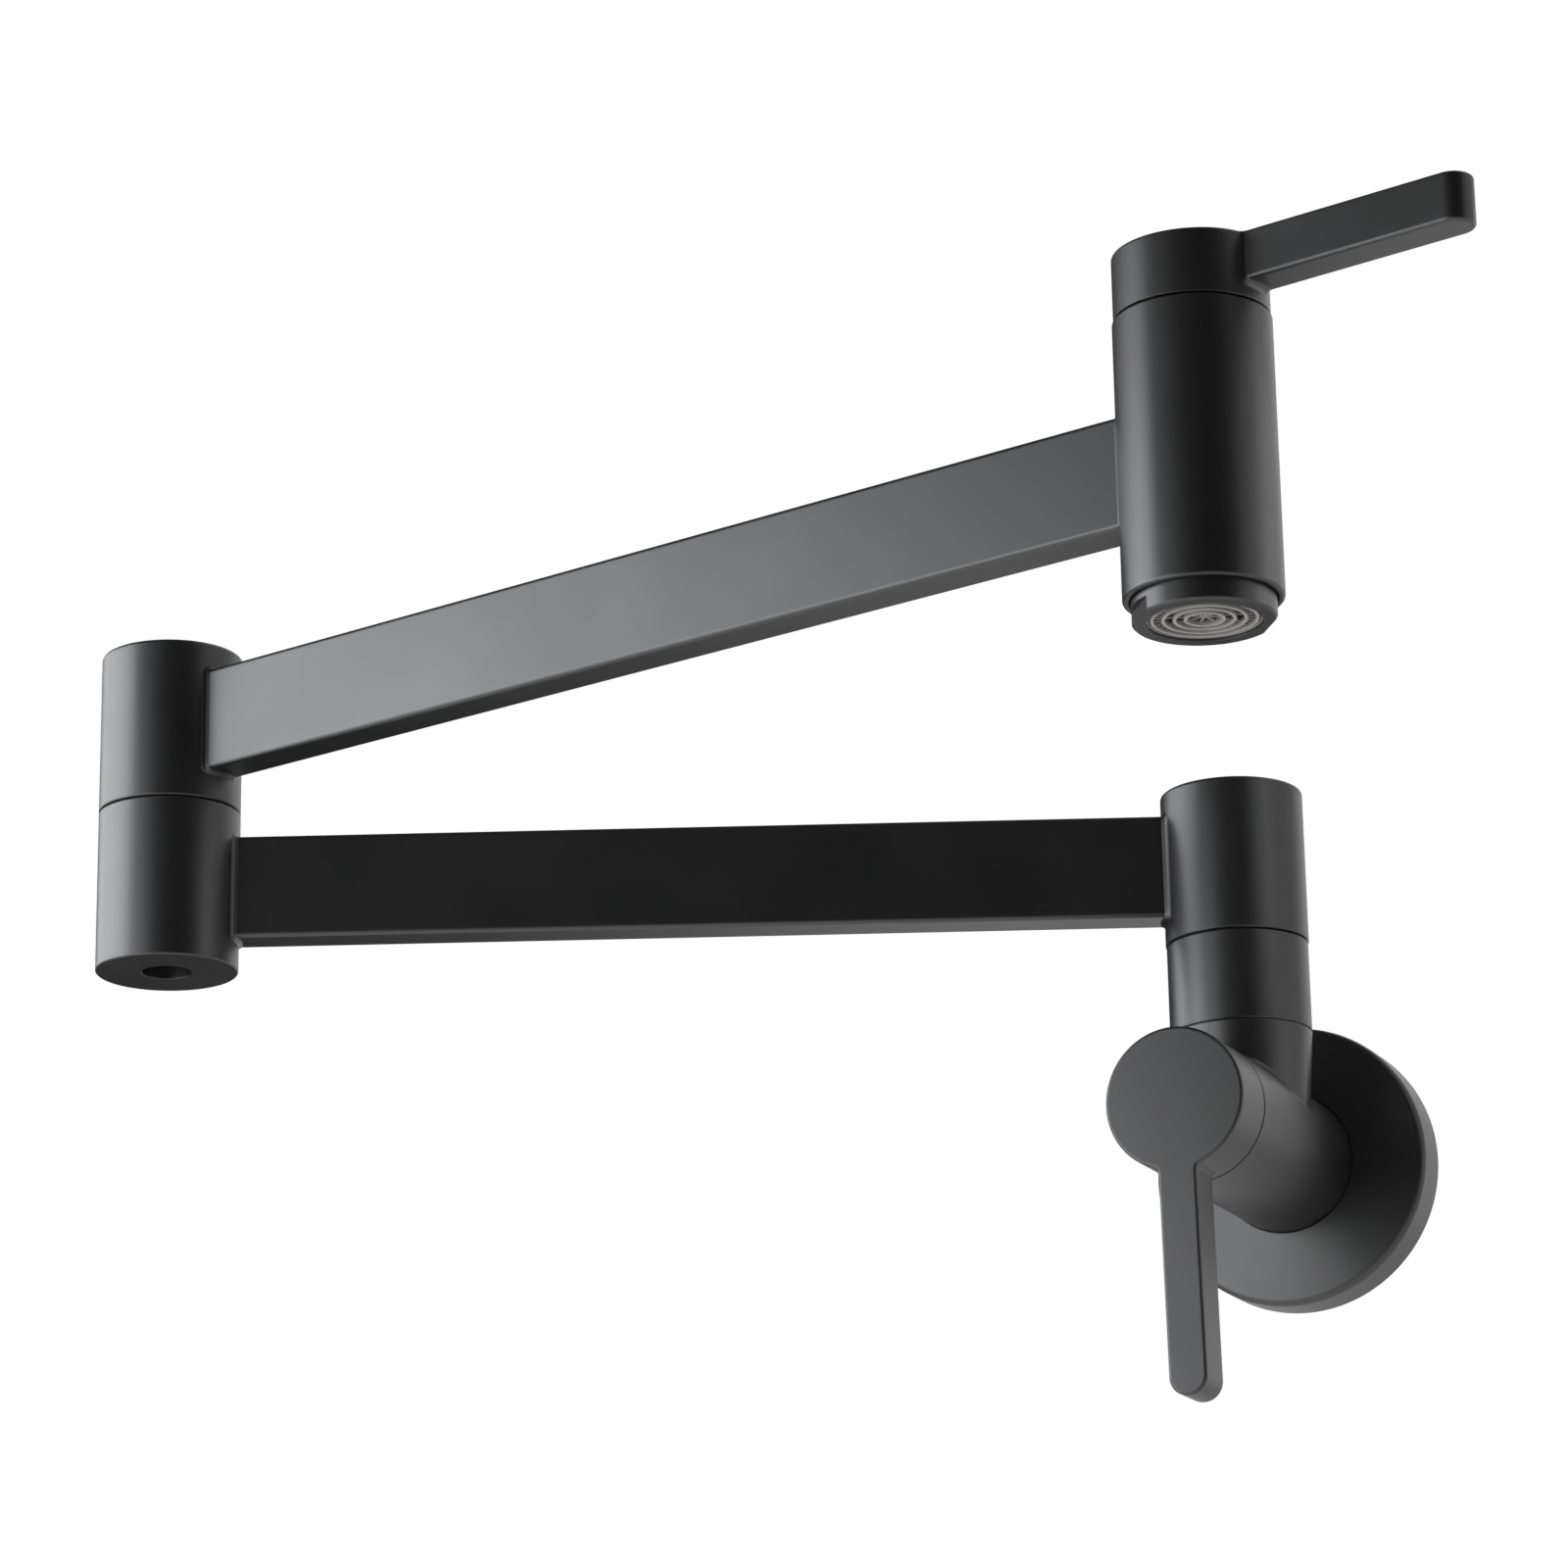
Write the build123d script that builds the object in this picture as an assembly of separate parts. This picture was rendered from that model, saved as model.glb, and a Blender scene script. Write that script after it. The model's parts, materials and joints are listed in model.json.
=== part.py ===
"""Wall-mounted pot-filler faucet: a wall valve, two hollow swing arms and a spout with its own valve.

Millimetres and degrees. The origin is the centre of the inlet on the wall face.
+Z is up and -Y points out of the wall into the room.
"""

import math
import os

from build123d import *

# Wall flange and valve body
flange_diameter = 64.0
flange_depth = 10.0
flange_rise = 2.2
flange_rim = 6.0
flange_plate = 2.6
flange_edge_radius = 1.6
flange_boss_wall = 4.6
flange_clearance = 0.15
gasket_width = 2.6
gasket_depth = 1.6
barrel_diameter = 31.4
inlet_septum = 6.7
inlet_thread_diameter = 18.6
inlet_thread_length = 18.0
branch_diameter = 31.6
branch_root_diameter = 28.2
branch_fillet = 1.2
branch_top = 24.0
shoulder_reach = 38.0

# Swivels: a hollow spigot turns in a hub, sealed above and below a cross port
collar_height = 20.5
hub_diameter = 32.0
hub_wall = 6.0
shoulder_hub_height = 35.0
elbow_hub_height = 36.8
hub_top_radius = 0.8
seam_gap = 0.3
seam_chamfer = 0.25
running_clearance = 0.05
end_clearance = 0.3
spigot_wall = 3.5
spigot_thread_length = 9.0
spigot_nose = 2.4
spigot_bore_runout = 0.4
port_diameter = 7.0
port_groove_depth = 1.5
port_groove_height = 8.4
ring_offset = 6.6
ring_groove_depth = 1.6
ring_groove_width = 2.2
ring_clearance = 0.04
washer_width = 3.4
washer_recess = 0.9
washer_film = 0.05
grub_diameter = 4.0
grub_length = 6.0
grub_key = 2.0
grub_height = 3.6
grub_bearing = -110.0
elbow_screw_diameter = 6.0
elbow_screw_head_diameter = 10.0
elbow_screw_head_height = 2.8
elbow_screw_key = 5.0
elbow_screw_key_depth = 2.24
elbow_screw_tip_gap = 0.5
elbow_screw_sunk = 2.9
elbow_screw_recess_diameter = 11.3
elbow_screw_washer = 0.8

# Swing arms: flat tubes let into pockets in the hubs
lower_arm_length = 240.4
lower_arm_angle = 23.8
upper_arm_angle = 11.9
fold_clearance = 4.8
bar_height = 23.6
bar_thickness = 9.8
bar_wall = 1.5
bar_edge_radius = 1.0
bar_pocket = 3.0

# Spout and aerator
spout_diameter = 32.0
spout_edge_radius = 0.6
aerator_thread_diameter = 25.4
aerator_collar_diameter = 28.7
aerator_drop = 4.5
aerator_seat = 1.8
aerator_lip_clearance = 0.35
aerator_thread_length = 6.4
aerator_washer_thickness = 2.4
aerator_flats = 26.6
aerator_flats_height = 3.0
aerator_flats_bearing = 49.0
aerator_edge_chamfer = 0.4
insert_diameter = 22.7
insert_recess = 0.6
insert_height = 9.2
insert_rim = 1.3
insert_groove_diameter = 21.8
insert_groove_width = 0.4
insert_groove_depth = 0.9
insert_ring_width = 0.65
insert_ring_diameters = (16.3, 11.9, 7.6)
insert_ring_height = 3.2
insert_rib_width = 0.5
insert_rib_drop = 0.7
insert_rib_height = 2.2
insert_rib_counts = (36, 12, 12, 8)
insert_core_diameter = 1.6
screen_thickness = 0.6
screen_hole_diameter = 1.5
screen_ring_diameters = (4.2, 8.4, 12.6, 16.8)
screen_ring_counts = (6, 12, 18, 24)
screen_border = 1.2

# Quarter-turn ceramic cartridge, the same one in both valves
seat_depth = 44.0
septum = 4.0
septum_port_diameter = 11.0
cartridge_thread_diameter = 20.8
cartridge_thread_length = 10.0
cartridge_flow_gap = 1.1
cartridge_skirt_diameter = 18.0
cartridge_skirt_end = 1.0
cartridge_flange_diameter = 24.0
cartridge_flange_height = 1.2
cartridge_hex = 19.0
cartridge_hex_top = 3.6
cartridge_neck_diameter = 13.0
cartridge_neck_top = 5.4
disc_bore = 15.0
disc_thickness = 3.2
disc_hole_diameter = 4.2
disc_hole_offset = 3.6
seal_height = 2.6
seal_bore = 9.0
window_width = 8.0
window_height = 9.5
foot_height = 5.0
leg_width = 3.0
leg_depth = 1.9
leg_entry = 1.5
spindle_diameter = 9.0
spindle_ring_depth = 5.0
spindle_ring_groove = 1.3
clip_thickness = 0.8
clip_clearance = 0.1
clip_groove = 0.8
clip_diameter = 12.5
clip_slot = 4.0
spline_teeth = 20
spline_height = 4.8
spline_clearance = 0.2
spline_tooth = 0.5

# Lever handles, the same one on both valves
handle_diameter = 31.4
handle_gap = 0.5
handle_height = 13.9
handle_edge_radius = 0.6
handle_crown_radius = 300.0
handle_cup_diameter = 26.5
handle_cup_depth = 6.0
lever_reach = 64.4
lever_width = 8.6
lever_depth = 10.4
lever_tip_flat = 0.2
lever_edge_radius = 0.8
lever_root_radius = 1.4
lever_grub_length = 8.0
wall_lever_bearing = -89.2
spout_lever_bearing = 0.0

cut = 1.0  # how far a cutter runs past the face it opens
touch = 0.01  # two places closer than this are one place

# Sizes that follow from the driving dimensions
hub_radius = hub_diameter / 2
spigot_diameter = hub_diameter - 2 * hub_wall
spigot_bore = spigot_diameter - 2 * spigot_wall
socket_diameter = spigot_diameter + 2 * running_clearance
ring_floor_diameter = spigot_diameter - 2 * ring_groove_depth
port_groove_diameter = socket_diameter + 2 * port_groove_depth
washer_inner = socket_diameter + 2 * end_clearance
washer_outer = washer_inner + 2 * washer_width
washer_thickness = washer_recess + seam_gap - washer_film
fold_offset = hub_radius + spout_diameter / 2 + fold_clearance
upper_arm_length = lower_arm_length + fold_offset
barrel_length = inlet_thread_length + inlet_septum + seat_depth
elbow_recess_depth = elbow_screw_sunk + elbow_screw_head_height + elbow_screw_washer + washer_film
aerator_cavity = aerator_seat + aerator_thread_length + aerator_washer_thickness
spout_height = seat_depth + septum + aerator_cavity
collar_top = branch_top + collar_height
lower_bar_z = collar_top + seam_gap + shoulder_hub_height / 2
upper_bar_z = lower_bar_z + elbow_hub_height + seam_gap
chamber_diameter = cartridge_thread_diameter + 2 * cartridge_flow_gap
spindle_bore = spindle_diameter + 2 * running_clearance
disc_diameter = disc_bore - 2 * running_clearance
clip_low = cartridge_neck_top + clip_clearance
spline_low = clip_low + clip_thickness + spline_clearance
spline_high = spline_low + spline_height
handle_top = handle_gap + handle_height
cup_roof = handle_gap + handle_cup_depth
lever_tip_radius = (lever_width - lever_tip_flat) / 2

# Where each sub-assembly stands
wall_frame = Rot(90, 0, 0)
wall_valve = wall_frame * Pos(0, 0, barrel_length)
shoulder_frame = Pos(0, -shoulder_reach, 0)
lower_arm_frame = shoulder_frame * Pos(0, 0, lower_bar_z) * Rot(0, 0, 180 + lower_arm_angle)
elbow_frame = lower_arm_frame * Pos(lower_arm_length, 0, 0)
elbow_x, elbow_y, _ = elbow_frame.position
upper_arm_frame = Pos(elbow_x, elbow_y, upper_bar_z) * Rot(0, 0, -upper_arm_angle)
spout_frame = upper_arm_frame * Pos(upper_arm_length, 0, 0)
spout_valve = spout_frame * Pos(0, 0, spout_height / 2)
spout_mouth = spout_frame * Pos(0, 0, -spout_height / 2)

nodes = {}


def rod(diameter, low, high):
    """A round bar on the Z axis."""
    return Pos(0, 0, (low + high) / 2) * Cylinder(diameter / 2, high - low)


def tube(outer, inner, low, high):
    """A round tube on the Z axis."""
    return rod(outer, low, high) - rod(inner, low - cut, high + cut)


def side_rod(diameter, near, far, height, bearing=0.0):
    """A round bar that points sideways from the Z axis, between two radii."""
    along = Pos((near + far) / 2, 0, height) * Rot(0, 90, 0)
    return Rot(0, 0, bearing) * along * Cylinder(diameter / 2, far - near)


def groove(outer, floor, middle, width):
    """A cutter for a groove turned round the outside of a bar."""
    return tube(outer + 2 * cut, floor, middle - width / 2, middle + width / 2)


def hexagon(across_flats, low, high):
    """A hexagonal bar on the Z axis."""
    corner_radius = across_flats / math.sqrt(3)
    return Pos(0, 0, low) * extrude(RegularPolygon(corner_radius, 6), high - low)


def round_edges(shape, height, radius):
    """Rounds the circular edges that lie at one height."""
    return fillet(shape.edges().filter_by(GeomType.CIRCLE).filter_by_position(
        Axis.Z, height, height, inclusive=(True, True)), radius)


def break_edges(shape, height, diameter, size):
    """Chamfers the outer circular edge that lies at one height."""
    rims = shape.edges().filter_by(GeomType.CIRCLE).filter_by_position(
        Axis.Z, height, height, inclusive=(True, True))
    return chamfer([e for e in rims if abs(e.radius - diameter / 2) < touch], size)


def o_rings(floor_diameter, wall_diameter, heights):
    """Rubber rings that just fill the space between a groove's floor and the wall round it."""
    section = (wall_diameter - floor_diameter) / 4 - ring_clearance
    middle = (wall_diameter + floor_diameter) / 4
    return [Pos(0, 0, z) * Torus(middle, section) for z in heights]


def spigot(fixed, port):
    """A hollow pivot. Its swivel face is at Z = 0, its fixed end below and its free end above."""
    free = port + ring_offset + spigot_nose
    body = rod(spigot_diameter, -fixed, free)
    body -= rod(spigot_bore, -fixed - cut, port + port_diameter / 2 + spigot_bore_runout)
    for bearing in (0, 90):
        body -= side_rod(port_diameter, -spigot_diameter, spigot_diameter, port, bearing)
    for z in (port - ring_offset, port + ring_offset):
        body -= groove(spigot_diameter, ring_floor_diameter, z, ring_groove_width)
    return body


def swivel_socket(face, port, direction):
    """The cutter for a socket that takes a spigot, with the water groove round its cross port."""
    floor = port + direction * (ring_offset + spigot_nose + end_clearance)
    mouth = face - direction * cut
    bore = rod(socket_diameter, min(mouth, floor), max(mouth, floor))
    half = port_groove_height / 2
    return bore + rod(port_groove_diameter, port - half, port + half)


def bar_blank(length, near_radius, far_radius):
    """The outside of an arm's flat tube, from pocket floor to pocket floor."""
    start = near_radius - bar_pocket
    end = length - far_radius + bar_pocket
    blank = Pos((start + end) / 2, 0, 0) * Box(end - start, bar_thickness, bar_height)
    return fillet(blank.edges().filter_by(Axis.X), bar_edge_radius)


def hollow_bar(length, near_radius, far_radius):
    """An arm's flat tube."""
    bore = Pos(length / 2, 0, 0) * Box(
        length, bar_thickness - 2 * bar_wall, bar_height - 2 * bar_wall)
    return bar_blank(length, near_radius, far_radius) - bore


def make_flange():
    """The wall cover: a hollow plate, a shallow cone in front, with a boss that slides on the barrel."""
    hole = barrel_diameter + 2 * flange_clearance
    boss = hole + 2 * flange_boss_wall
    plate_back = flange_depth - flange_plate
    cover = rod(flange_diameter, 0, flange_depth)
    cover += Pos(0, 0, flange_depth + flange_rise / 2) * Cone(
        flange_diameter / 2, barrel_diameter / 2, flange_rise)
    cover = round_edges(cover, flange_depth, flange_edge_radius)
    cover -= tube(flange_diameter - 2 * flange_rim, boss, -cut, plate_back)
    cover -= rod(hole, -cut, flange_depth + flange_rise + cut)
    gasket_middle = flange_diameter - flange_rim
    gasket = tube(gasket_middle + gasket_width, gasket_middle - gasket_width, 0, gasket_depth)
    ring_height = flange_depth / 2
    ring_floor = hole + 2 * ring_groove_depth
    cover -= rod(ring_floor, ring_height - ring_groove_width / 2, ring_height + ring_groove_width / 2)
    nodes["wall_flange"] = wall_frame * (cover - gasket)
    nodes["wall_gasket"] = wall_frame * gasket
    (grip,) = o_rings(barrel_diameter, ring_floor, [ring_height])
    nodes["flange_o_ring"] = wall_frame * grip


def valve_chamber(low):
    """The cutter for a cartridge's chamber and thread, below a valve's front face at Z = 0."""
    thread_bore = cartridge_thread_diameter + 2 * running_clearance
    return (rod(thread_bore, -cartridge_thread_length - cut, cut)
            + rod(chamber_diameter, -seat_depth, -cartridge_thread_length)
            + rod(septum_port_diameter, low, -seat_depth + cut))


def make_valve_body():
    """The brass casting: a barrel out of the wall and a branch that widens up to the swivel."""
    branch = shoulder_frame * Pos(0, 0, branch_top / 2) * Cone(
        branch_root_diameter / 2, branch_diameter / 2, branch_top)
    body = wall_frame * rod(barrel_diameter, 0, barrel_length) + branch
    plain = (GeomType.CIRCLE, GeomType.LINE)
    body = fillet([e for e in body.edges() if e.geom_type not in plain], branch_fillet)
    body = break_edges(body, branch_top, branch_diameter, seam_chamfer)
    body -= wall_valve * valve_chamber(-seat_depth - septum - cut)
    body -= wall_frame * rod(inlet_thread_diameter, -cut, inlet_thread_length)
    body -= wall_frame * rod(septum_port_diameter, 0, barrel_length - seat_depth)
    body -= shoulder_frame * rod(spigot_diameter, branch_top - spigot_thread_length, branch_top + cut)
    body -= shoulder_frame * rod(spigot_bore, 0, branch_top)
    nodes["valve_body"] = body


def make_shoulder():
    """The wall swivel: collar, spigot, seals and the washer that the arm turns on."""
    swivel = shoulder_frame * Pos(0, 0, collar_top)
    port = lower_bar_z - collar_top
    collar = tube(branch_diameter, spigot_diameter, -collar_height, 0)
    for z in (-collar_height, 0):
        collar = break_edges(collar, z, branch_diameter, seam_chamfer)
    collar -= rod(washer_outer + 2 * running_clearance, -washer_recess, cut)
    post = spigot(collar_height + spigot_thread_length, port)
    post -= groove(spigot_diameter, ring_floor_diameter, grub_height, grub_diameter + 2 * end_clearance)
    washer = tube(washer_outer, washer_inner, 0, washer_thickness)
    rings = o_rings(ring_floor_diameter, socket_diameter, [port - ring_offset, port + ring_offset])
    nodes["swivel_collar"] = swivel * collar
    nodes["shoulder_spigot"] = swivel * post
    nodes["shoulder_thrust_washer"] = swivel * Pos(0, 0, -washer_recess) * washer
    nodes["shoulder_o_rings"] = Compound([swivel * ring for ring in rings])


def make_lower_arm():
    """The arm from the wall swivel to the elbow, with the hub at each of its ends."""
    blank = bar_blank(lower_arm_length, hub_radius, hub_radius)
    half = shoulder_hub_height / 2
    hub = round_edges(rod(hub_diameter, -half, half), half, hub_top_radius)
    hub = break_edges(hub, -half, hub_diameter, seam_chamfer)
    hub -= blank
    hub -= swivel_socket(-half, 0, 1)
    hub -= side_rod(port_diameter, 0, hub_radius, 0)
    grub_z = collar_top + grub_height - lower_bar_z
    hub -= side_rod(grub_diameter, 0, hub_radius + cut, grub_z, grub_bearing)
    grub_tip = ring_floor_diameter / 2 + end_clearance
    grub = side_rod(grub_diameter, grub_tip, grub_tip + grub_length, grub_z, grub_bearing)
    grub -= Rot(0, 0, grub_bearing) * Pos(grub_tip + grub_length / 2, 0, grub_z) * Rot(0, 90, 0) * hexagon(
        grub_key, 0, grub_length / 2 + cut)
    nodes["shoulder_hub"] = lower_arm_frame * hub
    nodes["shoulder_grub_screw"] = lower_arm_frame * grub
    nodes["lower_arm_bar"] = lower_arm_frame * hollow_bar(lower_arm_length, hub_radius, hub_radius)

    half = elbow_hub_height / 2
    knuckle = break_edges(rod(hub_diameter, -half, half), half, hub_diameter, seam_chamfer)
    knuckle = break_edges(knuckle, -half, hub_diameter, seam_chamfer)
    knuckle -= Pos(-lower_arm_length, 0, 0) * blank
    knuckle -= swivel_socket(half, 0, -1)
    knuckle -= side_rod(port_diameter, 0, hub_radius, 0, 180)
    knuckle -= rod(washer_outer + 2 * running_clearance, half - washer_recess, half + cut)
    knuckle -= rod(elbow_screw_recess_diameter, -half - cut, -half + elbow_recess_depth)
    knuckle -= rod(elbow_screw_diameter + 2 * end_clearance, -half, half)
    washer = tube(washer_outer, washer_inner, 0, washer_thickness)
    nodes["elbow_lower_hub"] = elbow_frame * knuckle
    nodes["elbow_thrust_washer"] = elbow_frame * Pos(0, 0, half - washer_recess) * washer


def make_elbow():
    """The elbow's pivot, which hangs from the upper hub and is held by a screw from below."""
    half = elbow_hub_height / 2
    port = seam_gap + half
    pivot = upper_arm_frame * Pos(0, 0, -half) * Rot(180, 0, 0)
    nose = port + ring_offset + spigot_nose
    thread_depth = ring_offset + spigot_nose - port_diameter / 2 - 2 * spigot_bore_runout
    post = spigot(spigot_thread_length, port) - rod(elbow_screw_diameter, nose - thread_depth, nose + cut)
    rings = o_rings(ring_floor_diameter, socket_diameter, [port - ring_offset, port + ring_offset])
    nodes["elbow_spigot"] = pivot * post
    nodes["elbow_o_rings"] = Compound([pivot * ring for ring in rings])

    head_high = seam_gap + elbow_hub_height - elbow_screw_sunk
    head_low = head_high - elbow_screw_head_height
    washer_low = head_low - elbow_screw_washer
    screw = rod(elbow_screw_diameter, nose - thread_depth + elbow_screw_tip_gap, head_low + cut)
    screw += rod(elbow_screw_head_diameter, head_low, head_high)
    screw -= hexagon(elbow_screw_key, head_high - elbow_screw_key_depth, head_high + cut)
    washer = tube(elbow_screw_head_diameter, elbow_screw_diameter + 2 * running_clearance,
                  washer_low, head_low)
    nodes["elbow_screw"] = pivot * screw
    nodes["elbow_screw_washer"] = pivot * washer


def make_upper_arm():
    """The arm from the elbow to the spout, with the elbow's upper hub."""
    blank = bar_blank(upper_arm_length, hub_radius, spout_diameter / 2)
    half = elbow_hub_height / 2
    hub = round_edges(rod(hub_diameter, -half, half), half, hub_top_radius)
    hub = break_edges(hub, -half, hub_diameter, seam_chamfer)
    hub -= blank
    hub -= rod(spigot_diameter, -half - cut, -half + spigot_thread_length)
    hub -= rod(spigot_bore, -half, port_groove_height)
    hub -= side_rod(port_diameter, 0, hub_radius, 0)
    nodes["elbow_upper_hub"] = upper_arm_frame * hub
    nodes["upper_arm_bar"] = upper_arm_frame * hollow_bar(
        upper_arm_length, hub_radius, spout_diameter / 2)


def make_spout():
    """The spout: a round body with the second valve in its top and the aerator in its mouth."""
    half = spout_height / 2
    lip = aerator_collar_diameter + 2 * aerator_lip_clearance
    septum_low = half - seat_depth - septum
    body = round_edges(rod(spout_diameter, -half, half), -half, spout_edge_radius)
    body = break_edges(body, half, spout_diameter, seam_chamfer)
    body -= Pos(-upper_arm_length, 0, 0) * bar_blank(
        upper_arm_length, hub_radius, spout_diameter / 2)
    body -= Pos(0, 0, half) * valve_chamber(-seat_depth - septum - cut)
    body -= rod(aerator_thread_diameter, -half - cut, septum_low)
    body -= rod(lip, -half - cut, -half + aerator_seat + running_clearance)
    body -= side_rod(port_diameter, 0, spout_diameter / 2, 0, 180)
    nodes["spout_body"] = spout_frame * body


def make_aerator():
    """The aerator in the spout's mouth: threaded housing, ribbed insert, screen and washer."""
    thread_top = aerator_seat + aerator_thread_length
    housing = rod(aerator_collar_diameter, -aerator_drop, aerator_seat)
    housing = break_edges(housing, -aerator_drop, aerator_collar_diameter, aerator_edge_chamfer)
    housing += rod(aerator_thread_diameter - 2 * running_clearance, aerator_seat, thread_top)
    insert_low = insert_recess - aerator_drop
    insert_top = insert_low + insert_height
    bore = insert_diameter + 2 * running_clearance
    screen_top = insert_top + screen_thickness
    housing -= rod(bore, -aerator_drop - cut, screen_top)
    housing -= rod(bore - 2 * screen_border, 0, thread_top + cut)
    flat_low = -aerator_drop - cut
    flat_block = Box(aerator_collar_diameter, 2 * aerator_collar_diameter, aerator_flats_height + cut)
    flat_place = Pos((aerator_flats + aerator_collar_diameter) / 2, 0,
                     flat_low + (aerator_flats_height + cut) / 2)
    for side in (0, 180):
        housing -= Rot(0, 0, aerator_flats_bearing + side) * flat_place * flat_block
    nodes["aerator_housing"] = spout_mouth * housing
    nodes["aerator_insert"] = spout_mouth * Pos(0, 0, insert_low) * aerator_insert()
    screen = rod(insert_diameter, insert_top, screen_top)
    for circle, count in zip(screen_ring_diameters, screen_ring_counts):
        for k in range(count):
            bearing = math.radians(360 * k / count)
            spot = Pos(circle / 2 * math.cos(bearing), circle / 2 * math.sin(bearing), 0)
            screen -= spot * rod(screen_hole_diameter, insert_top - cut, screen_top + cut)
    nodes["aerator_screen"] = spout_mouth * screen
    nodes["aerator_washer"] = spout_mouth * tube(
        aerator_thread_diameter - 2 * running_clearance, insert_diameter - 2 * screen_border,
        thread_top, aerator_cavity)


def aerator_insert():
    """The ribbed plastic insert, with its mouth at Z = 0."""
    body = tube(insert_diameter, insert_diameter - 2 * insert_rim, 0, insert_height)
    body -= tube(insert_groove_diameter + insert_groove_width, insert_groove_diameter - insert_groove_width,
                 -cut, insert_groove_depth)
    rims = [insert_diameter - insert_rim, *insert_ring_diameters, 0]
    for diameter in insert_ring_diameters:
        body += tube(diameter + insert_ring_width, diameter - insert_ring_width, 0, insert_ring_height)
    body += rod(insert_core_diameter, insert_rib_drop, insert_rib_drop + insert_rib_height)
    ribs = []
    for outer, inner, count in zip(rims, rims[1:], insert_rib_counts):
        reach = (outer - inner) / 2
        rib = Pos(inner / 2 + reach / 2, 0, insert_rib_drop + insert_rib_height / 2) * Box(
            reach, insert_rib_width, insert_rib_height)
        ribs += [Rot(0, 0, 360 * k / count) * rib for k in range(count)]
    return body.fuse(*ribs)


def spline(low, high, clearance=0.0):
    """A toothed head that drives the handle."""
    outer = spindle_diameter / 2 + clearance
    inner = outer - spline_tooth
    points = []
    for k in range(2 * spline_teeth):
        radius = outer if k % 2 == 0 else inner
        bearing = math.pi * k / spline_teeth
        points.append((radius * math.cos(bearing), radius * math.sin(bearing)))
    return Pos(0, 0, low) * extrude(make_face(Polyline(*points, close=True)), high - low)


def cartridge_housing():
    """The cartridge's brass shell, screwed into a valve from the front."""
    skirt_low = -seat_depth + cartridge_skirt_end
    turning_top = -seat_depth + seal_height + 2 * disc_thickness + washer_film
    foot_top = turning_top + window_height + foot_height + 2 * washer_film
    shell = rod(cartridge_thread_diameter, -cartridge_thread_length, 0)
    shell += rod(cartridge_skirt_diameter, skirt_low, -cartridge_thread_length)
    shell += rod(cartridge_flange_diameter, 0, cartridge_flange_height)
    shell += hexagon(cartridge_hex, cartridge_flange_height, cartridge_hex_top)
    shell += rod(cartridge_neck_diameter, cartridge_hex_top, cartridge_neck_top)
    shell -= rod(disc_bore, skirt_low - cut, foot_top)
    shell -= rod(spindle_bore, skirt_low, cartridge_neck_top + cut)
    shell -= Pos(0, 0, turning_top + window_height / 2) * Box(
        2 * cartridge_skirt_diameter, window_width, window_height)
    return shell


def ceramic_disc(low, bearing):
    """A polished ceramic disc with two water holes."""
    disc = rod(disc_diameter, low, low + disc_thickness)
    for side in (0, 180):
        disc -= Rot(0, 0, bearing + side) * Pos(disc_hole_offset, 0, 0) * rod(
            disc_hole_diameter, low - cut, low + disc_thickness + cut)
    return disc


def spindle_legs(low, high, clearance):
    """The two legs by which the spindle turns the upper disc."""
    middle = disc_diameter / 2 - leg_depth / 2
    leg = Pos(middle, 0, (low + high) / 2) * Box(
        leg_depth + 2 * clearance, leg_width + 2 * clearance, high - low)
    return leg + Rot(0, 0, 180) * leg


def make_valve_works(name, place, lever_bearing):
    """A cartridge and its lever handle. The lever and the spindle turn together."""
    seal_top = -seat_depth + seal_height
    turning_low = seal_top + disc_thickness + washer_film
    turning_top = turning_low + disc_thickness
    foot_low = turning_top + window_height
    foot_top = foot_low + foot_height
    leg_low = turning_top - leg_entry
    seal = tube(disc_diameter, seal_bore, -seat_depth, seal_top)
    turning_disc = ceramic_disc(turning_low, 90)
    turning_disc -= spindle_legs(leg_low - washer_film, turning_top + cut, running_clearance)
    round_of_disc = rod(disc_diameter, leg_low, foot_low + cut)
    spindle = rod(disc_diameter, foot_low, foot_top) + rod(spindle_diameter, foot_top, spline_low)
    spindle += spindle_legs(leg_low, foot_low + cut, 0) & round_of_disc
    spindle += spline(spline_low, spline_high)
    ring_floor = spindle_diameter - 2 * spindle_ring_groove
    spindle -= groove(spindle_diameter, ring_floor, -spindle_ring_depth, ring_groove_width)
    clip_bore = spindle_diameter - 2 * clip_groove
    clip_cut = tube(spindle_diameter + 2 * cut, clip_bore, clip_low, clip_low + clip_thickness)
    spindle -= clip_cut
    clip = tube(clip_diameter, clip_bore, clip_low, clip_low + clip_thickness)
    clip -= Pos(clip_diameter / 2, 0, clip_low) * Box(
        clip_diameter, clip_slot, 2 * (clip_thickness + cut))
    (spindle_ring,) = o_rings(ring_floor, spindle_bore, [-spindle_ring_depth])
    handle, handle_grub = lever_handle()
    turned = place * Rot(0, 0, lever_bearing)
    nodes[name + "_cartridge_housing"] = place * cartridge_housing()
    nodes[name + "_cartridge_seal"] = place * seal
    nodes[name + "_fixed_disc"] = place * ceramic_disc(seal_top, 0)
    nodes[name + "_turning_disc"] = place * turning_disc
    nodes[name + "_spindle"] = place * spindle
    nodes[name + "_spindle_o_ring"] = place * spindle_ring
    nodes[name + "_spindle_clip"] = place * clip
    nodes[name + "_handle"] = turned * handle
    nodes[name + "_handle_screw"] = turned * handle_grub


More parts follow.
